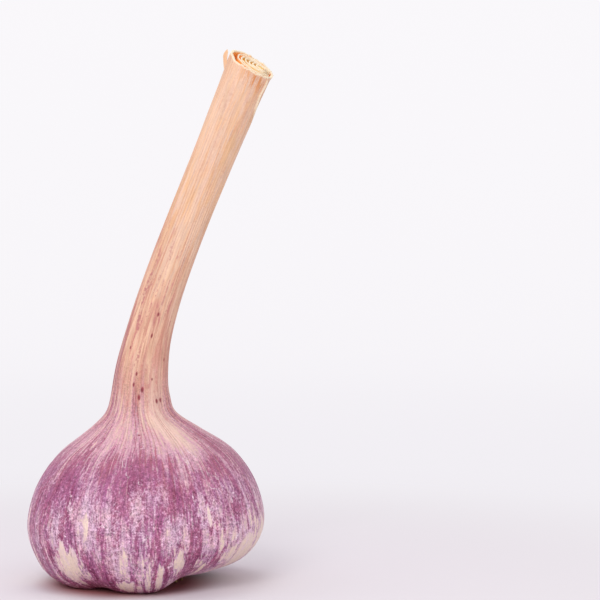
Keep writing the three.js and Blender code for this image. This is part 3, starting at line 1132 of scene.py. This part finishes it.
def leaf_ring(number, count):
    """The middle line's radius, the thickness and the shift of a rolled leaf."""
    scale = len(LEAF_GAPS) / count
    degrees = once_round(LEAF_SIDES)
    # Round the front left the leaves lie in pairs, with wide gaps between the pairs.
    loose = bump_of(angle_from(degrees, GAPE_ANGLE + GAPE_TURN * number), 0, 40)[:, None]
    room = np.array([LEAF_GAPS[i % len(LEAF_GAPS)] for i in range(number)])
    radius = OUTER_LEAF - LEAF_PITCH * scale * ((room - 1)[None, :] * loose + 1).sum(1)
    spacing = (LEAF_PITCH - LEAF_SHIFT * np.cos(np.radians(degrees))) * scale
    wave = 0.12 * np.sin(np.radians(degrees * 3 + 40 * number))
    wave += 0.08 * np.sin(np.radians(degrees * 7 + 95 * number))
    wave += 0.14 * ring_noise(degrees, 0 * degrees, 13, 1, 70 + number)
    thin = 0.40 + 0.12 * ring_noise(degrees, 0 * degrees, 9, 1, 80 + number)
    thickness = np.clip(spacing * thin, 0.1, 0.40)
    return degrees, radius + wave * spacing * 0.6, thickness, LEAF_SHIFT * scale * number


def leaf_sheet(degrees, outer, inner, shift, stand, seed):
    """A rolled leaf's closed wall, with a slightly uneven cut edge. It stands a little proud."""
    uneven = 0.07 * ring_noise(degrees, 0 * degrees, 40, 1, seed)
    uneven = uneven + 0.10 * ring_noise(degrees, 0 * degrees, 11, 1, seed + 1)
    top = STEM_TOP + cut_rise(degrees, outer, shift) + uneven + stand

    def wall(side, depths):
        return [(side * (1 - LEAF_TAPER * d), np.maximum(LEAF_FLOOR, top - d), d) for d in depths]

    edge = [(outer + (inner - outer) * share, top + rise, 0) for share, rise in LEAF_EDGE]
    rows = wall(outer, LEAF_DEPTHS) + edge + wall(inner, LEAF_DEPTHS[::-1])
    wide, tall = (np.array([row[i] for row in rows]) for i in range(2))
    depth = np.array([row[2] for row in rows])[:, None] + 0 * wide
    return Sheet(on_spine(degrees[None, :] + 0 * wide, wide, tall, shift), {"depth": depth}, closed=True)


def build_leaves(sizes, colours):
    """The leaves rolled in the cut, each one inside the one before."""
    outermost = leaf_material("garlic_leaf", colours, colours.cut, colours.amber, colours.shade)
    inner_ones = leaf_material("garlic_inner_leaf", colours, colours.cut, colours.core, colours.gold)
    for number in range(1, sizes.leaf_count + 1):
        degrees, radius, thickness, shift = leaf_ring(number, sizes.leaf_count)
        outer, inner = radius + thickness / 2, radius - thickness / 2
        stand = LEAF_STAND * number - LEAF_SINK
        sheet = leaf_sheet(degrees, outer, inner, shift, stand, 90 + 3 * number)
        replaced = LEAF_NODES[number - 1 : number]
        material = outermost if number == 1 else inner_ones
        piece(f"rolled_leaf_{number}", [sheet], replaced, material)


def build_strip(colours):
    """The strip torn off the outermost leaf, left standing beside the rim."""
    steps = np.linspace(0, 1, 15)
    start = on_spine(*(np.array([each]) for each in (STRIP_ANGLE, STRIP_RADIUS, STEM_TOP - STRIP_DROP)))[0]
    lean = 0.45 * steps**6 - 0.12 * np.sin(np.pi * steps)
    path = start + np.stack([lean, 0.25 * steps, STRIP_LENGTH * steps], -1)
    half_wide = STRIP_WIDTH / 2 * np.interp(steps, (0, 0.3, 0.7, 0.88, 1), (0.55, 0.7, 1, 0.8, 0.08))
    half_thick = STRIP_THICKNESS / 2 * np.interp(steps, (0, 0.8, 1), (1.2, 1, 0.5))
    degrees = once_round(24)
    angle = np.radians(degrees)[None, :]
    facing = math.radians(STRIP_TURN)
    wide, thick = half_wide[:, None] * np.cos(angle), half_thick[:, None] * np.sin(angle)
    wide = wide + 0.05 * ring_noise(degrees[None, :] + 0 * wide, steps[:, None] * 12 + 0 * wide, 6, 1.0, 61)
    points = np.stack(
        [
            path[:, :1] + wide * math.cos(facing) - thick * math.sin(facing),
            path[:, 1:2] + wide * math.sin(facing) + thick * math.cos(facing),
            path[:, 2:] + 0 * wide,
        ],
        -1,
    )
    edge = np.abs(np.cos(angle)) ** 6 + 0 * wide
    sheet = Sheet(points, {"edge": edge}, rows=spread_rows(len(steps)))
    piece("torn_strip", [sheet], (), strip_material(colours))


def build_stalk(colours):
    """The flower stalk: a small pith in the innermost leaf, its cut end slightly domed."""
    degrees = once_round(72)
    shift = LEAF_SHIFT * len(LEAF_GAPS) + 0.05
    top = STEM_TOP + LEAF_STAND * len(LEAF_GAPS)
    wobble = 0.07 * ring_noise(degrees, 0 * degrees, 9, 1, 120)
    wide = np.array([radius + wobble for radius, _, _ in STALK_ROWS])
    tall = np.array([top + rise + cut_rise(degrees, radius, shift) for radius, rise, _ in STALK_ROWS])
    depth = np.array([depth for _, _, depth in STALK_ROWS])[:, None] + 0 * wide
    points = on_spine(degrees[None, :] + 0 * wide, wide, tall, shift)
    sheet = Sheet(points, {"depth": depth}, rows=spread_rows(len(STALK_ROWS)))
    material = leaf_material("garlic_pith", colours, colours.core, colours.amber, colours.gold)
    piece("flower_stalk_pith", [sheet], ["flower_stalk"], material)


# ---------------------------------------------------------------------------------------------
# The root plate
# ---------------------------------------------------------------------------------------------

ROOT_SIDES = 10
ROOT_STEPS = 6
ROOT_START = 1.5  # the height at which the roots leave the plate
PLATE_INSET = 0.4  # how far the plate stays inside its box, to leave room for the roots
PLATE_SHARE = 0.55  # the plate's part of the texture; the roots share the rest


def tube(path, radii, sides, seed):
    """A bent, tapered root from its path and radii, with its cut end last."""
    run = np.gradient(path, axis=0)
    run /= np.linalg.norm(run, axis=1)[:, None]
    side = np.cross(run, np.array([0.3, 0.9, 0.2]))
    side /= np.linalg.norm(side, axis=1)[:, None]
    other = np.cross(run, side)
    degrees = once_round(sides)[None, :] + 0 * radii[:, None]
    along = np.arange(len(radii))[:, None] + 0 * degrees
    reach = (radii[:, None] * (1 + 0.14 * ring_noise(degrees, along, 5, 1.5, seed)))[..., None]
    angle = np.radians(degrees)[..., None]
    return path[:, None, :] + reach * (side[:, None, :] * np.cos(angle) + other[:, None, :] * np.sin(angle))


def plate_sheet(plate_radius, top):
    """The root plate: a lumpy disc with a rounded rim."""
    profile = (
        (0.4, 0.95),
        (2.2, 0.8),
        (4.4, 0.6),
        (6.2, 0.5),
        (plate_radius - 0.8, 0.7),
        (plate_radius, 1.3),
        (plate_radius - 0.1, 2.0),
        (plate_radius - 0.9, top),
        (3.0, top),
        (0.4, top),
    )
    degrees = once_round(180)[None, :] + np.zeros((len(profile), 1))
    wide, tall = (np.array(column, float)[:, None] + 0 * degrees for column in zip(*profile))
    rim = smoothstep(wide, 2, plate_radius)
    wide = wide + rim * 0.28 * ring_noise(degrees, tall, 34, 1.0, 131)
    lumps = 0.3 * ring_noise(degrees, wide, 26, 1.4, 132)
    tall = np.clip(tall + lumps * (tall < 2), 0.05, top)
    angle = np.radians(degrees)
    points = np.stack([wide * np.cos(angle), wide * np.sin(angle), tall], -1)
    return Sheet(points, {"cut": 0 * wide}, rows=spread_rows(len(profile)))


def root_sheet(number, sizes, plate_radius, rng):
    """A trimmed root: the even ones reach out from the plate's rim, the odd ones stay under it."""
    outer = number % 2 == 0
    at = math.radians(number * 360 / sizes.root_count + rng.uniform(-5, 5))
    start = plate_radius - (rng.uniform(0.3, 0.9) if outer else rng.uniform(2.2, 5.5))
    width = sizes.root_width / MM * rng.uniform(0.38, 0.55)
    reach = rng.uniform(0.8, 2.4) if outer else rng.uniform(0.1, 0.6)
    drop = 0.09 if outer else 0.06
    sway = rng.uniform(-0.25, 0.25)
    steps = np.linspace(0, 1, ROOT_STEPS)
    out = start + reach * steps**0.8
    height = ROOT_START - (ROOT_START - width - drop) * steps**0.9
    turn = at + sway * steps * 0.6
    path = np.stack([out * np.cos(turn), out * np.sin(turn), height], -1)
    points = tube(path, width * (1 - 0.3 * steps), ROOT_SIDES, 150 + number)
    points[..., 2] = np.maximum(points[..., 2], 0.02)
    ends = np.zeros(points.shape[:2])
    ends[-1] = 1
    return Sheet(points, {"cut": ends}, rows=spread_rows(ROOT_STEPS))


def build_roots(sizes, colours):
    """The root plate and the trimmed roots that grow out of it."""
    low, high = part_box("root_plate")
    plate_radius = (high.x - low.x) / 2 / MM - PLATE_INSET
    rng = np.random.default_rng(140)
    sheets = [plate_sheet(plate_radius, high.z / MM)]
    regions = [(0, PLATE_SHARE)]
    for number in range(sizes.root_count):
        sheets.append(root_sheet(number, sizes, plate_radius, rng))
        left = PLATE_SHARE + 0.01 + 0.44 * number / sizes.root_count
        regions.append((left, left + 0.40 / sizes.root_count))
    piece("root_plate_and_roots", sheets, ["root_plate"], cork_material(colours), regions)


# ---------------------------------------------------------------------------------------------
# The stage
# ---------------------------------------------------------------------------------------------

EYE = Vector((0.03744, -0.48, 0.085))
EYE_DROP = 1.918  # degrees that the view drops
LENS, SENSOR = 117.7, 36  # millimetres; the picture is square
# The middle of the painted contact shadow.
SHADE_MIDDLE = (-0.005, -0.004, 0.0)  # where the ground is darkest
GROUND_RADIUS = 0.75
COVE_RADIUS = 0.5  # of the curve by which the ground turns up into the backdrop
BACKDROP_TOP = 1.6
STAGE_SIDES = 96
LIT_MIDDLE = (0, 0, 0.03)
LIGHTS = (  # each one's name, place, width, power and colour
    ("key_light", (-0.14, -0.60, 0.40), 0.34, 1.9, (1, 0.99, 0.97)),
    ("top_light", (-0.05, 0.10, 0.75), 0.4, 0.8, (1, 1, 1)),
)
WORLD_STRENGTH = 0.75


def stage_material(colours):
    """A pale ground with a painted contact shadow under the bulb, and a painted glow that brightens into the
    backdrop with distance.
    """
    shader = Shader("stage")
    place = shader.place()
    reach = shader.vector_math("LENGTH", {0: place}, "Value")
    off = shader.vector_math("DISTANCE", {0: place, 1: SHADE_MIDDLE}, "Value")
    # A painted contact shadow: the ground turns darker towards the bulb's foot.
    tone = shader.mix(shader.between(off, 0.013, 0.024), colours.painted_contact_shadow, colours.floor)
    ground = shader.node("ShaderNodeBsdfDiffuse", None, {"Color": tone})
    # Painted light: farther off, the ground glows, brightening with distance into the backdrop.
    near = shader.mix(shader.between(reach, 0.03, 0.25), colours.near_glow, colours.far_glow)
    tone = shader.mix(shader.between(reach, 0.05, 1.4), near, colours.backdrop)
    glow = shader.node("ShaderNodeEmission", None, {"Color": tone, "Strength": 1.0})
    amount = shader.between(reach, 0.035, 0.2)
    mixed = shader.node("ShaderNodeMixShader", None, {0: amount, 1: ground, 2: glow})
    shader.feed(shader.output.inputs["Surface"], mixed)
    shader.tree.nodes.remove(shader.surface)
    return shader.material


def build_stage(colours):
    """The ground and the backdrop, as one surface that curves up."""
    profile = [(r, 0) for r in np.linspace(0.004, GROUND_RADIUS, 24)]
    for a in np.radians(np.arange(10, 91, 10)):
        profile.append((GROUND_RADIUS + COVE_RADIUS * math.sin(a), COVE_RADIUS * (1 - math.cos(a))))
    profile += [(GROUND_RADIUS + COVE_RADIUS, z) for z in (0.9, BACKDROP_TOP)]
    angle = np.radians(once_round(STAGE_SIDES))
    points = [(r * math.cos(a), r * math.sin(a), z) for r, z in profile for a in angle]
    corners, _, _ = ring_faces(len(profile), STAGE_SIDES, False)
    faces = corners.tolist() + [list(range(STAGE_SIDES))]
    mesh = bpy.data.meshes.new("floor_and_backdrop")
    mesh.from_pydata(points, [], faces)
    mesh.shade_smooth()
    mesh.materials.append(stage_material(colours))
    ground = bpy.data.objects.new("floor_and_backdrop", mesh)
    bpy.context.scene.collection.objects.link(ground)


def build_lights(colours):
    """Soft lamps, and the even light from all round."""
    for name, place, size, power, tint in LIGHTS:
        lamp = bpy.data.lights.new(name, "AREA")
        lamp.shape, lamp.size, lamp.energy, lamp.color = "DISK", size, power, tint
        made = bpy.data.objects.new(name, lamp)
        made.location = place
        made.rotation_euler = (Vector(LIT_MIDDLE) - Vector(place)).to_track_quat("-Z", "Y").to_euler()
        bpy.context.scene.collection.objects.link(made)
    world = bpy.data.worlds.new("studio")
    world.use_nodes = True
    background = world.node_tree.nodes["Background"]
    background.inputs["Color"].default_value = (*colours.backdrop, 1)
    background.inputs["Strength"].default_value = WORLD_STRENGTH
    bpy.context.scene.world = world


def build_camera():
    """A camera with a long lens, level with the stem and looking slightly down."""
    lens = bpy.data.cameras.new("camera")
    lens.sensor_width, lens.lens, lens.clip_start, lens.clip_end = SENSOR, LENS, 0.01, 10
    camera = bpy.data.objects.new("camera", lens)
    camera.location = EYE
    camera.rotation_euler = (math.radians(90 - EYE_DROP), 0, 0)
    bpy.context.scene.collection.objects.link(camera)
    bpy.context.scene.camera = camera


# ---------------------------------------------------------------------------------------------
# Operators
# ---------------------------------------------------------------------------------------------


class GARLIC_OT_skin(bpy.types.Operator):
    """Build the outermost leaf: the skin over the cloves, the neck and the stem"""

    bl_idname = "garlic.skin"
    bl_label = "Skin"

    def execute(self, context):
        build_skin(context.scene.garlic_sizes, context.scene.garlic_colours)
        return {"FINISHED"}


class GARLIC_OT_leaves(bpy.types.Operator):
    """Build the leaves rolled one inside the other at the cut"""

    bl_idname = "garlic.leaves"
    bl_label = "Rolled Leaves"

    def execute(self, context):
        build_leaves(context.scene.garlic_sizes, context.scene.garlic_colours)
        return {"FINISHED"}


class GARLIC_OT_strip(bpy.types.Operator):
    """Build the strip torn off the outermost leaf at the cut"""

    bl_idname = "garlic.strip"
    bl_label = "Torn Strip"

    def execute(self, context):
        build_strip(context.scene.garlic_colours)
        return {"FINISHED"}


class GARLIC_OT_stalk(bpy.types.Operator):
    """Build the pith of the flower stalk in the middle of the leaves"""

    bl_idname = "garlic.stalk"
    bl_label = "Flower Stalk"

    def execute(self, context):
        build_stalk(context.scene.garlic_colours)
        return {"FINISHED"}


class GARLIC_OT_roots(bpy.types.Operator):
    """Build the root plate with its trimmed roots"""

    bl_idname = "garlic.roots"
    bl_label = "Root Plate"

    def execute(self, context):
        build_roots(context.scene.garlic_sizes, context.scene.garlic_colours)
        return {"FINISHED"}


class GARLIC_OT_stage(bpy.types.Operator):
    """Build the ground, the backdrop, the lights and the camera"""

    bl_idname = "garlic.stage"
    bl_label = "Stage"

    def execute(self, context):
        build_stage(context.scene.garlic_colours)
        build_lights(context.scene.garlic_colours)
        build_camera()
        context.scene.view_settings.view_transform = "Standard"
        return {"FINISHED"}


class GARLIC_PT_panel(bpy.types.Panel):
    """The garlic's pieces and settings"""

    bl_idname = "GARLIC_PT_panel"
    bl_label = "Garlic Bulb"
    bl_space_type = "VIEW_3D"
    bl_region_type = "UI"
    bl_category = "Garlic"

    def draw(self, context):
        for operator in OPERATORS:
            self.layout.operator(operator.bl_idname)
        for group in (context.scene.garlic_sizes, context.scene.garlic_colours):
            box = self.layout.box()
            for name in type(group).__annotations__:
                box.prop(group, name)


OPERATORS = (
    GARLIC_OT_stage,
    GARLIC_OT_skin,
    GARLIC_OT_leaves,
    GARLIC_OT_strip,
    GARLIC_OT_stalk,
    GARLIC_OT_roots,
)
CLASSES = (GarlicSizes, GarlicColours, *OPERATORS, GARLIC_PT_panel)


def register():
    for each in CLASSES:
        bpy.utils.register_class(each)
    bpy.types.Scene.garlic_sizes = PointerProperty(type=GarlicSizes)
    bpy.types.Scene.garlic_colours = PointerProperty(type=GarlicColours)


def unregister():
    del bpy.types.Scene.garlic_colours
    del bpy.types.Scene.garlic_sizes
    for each in reversed(CLASSES):
        bpy.utils.unregister_class(each)


def main():
    register()
    bpy.ops.garlic.stage()
    bpy.ops.garlic.skin()
    bpy.ops.garlic.leaves()
    bpy.ops.garlic.strip()
    bpy.ops.garlic.stalk()
    bpy.ops.garlic.roots()


if __name__ == "__main__":
    main()
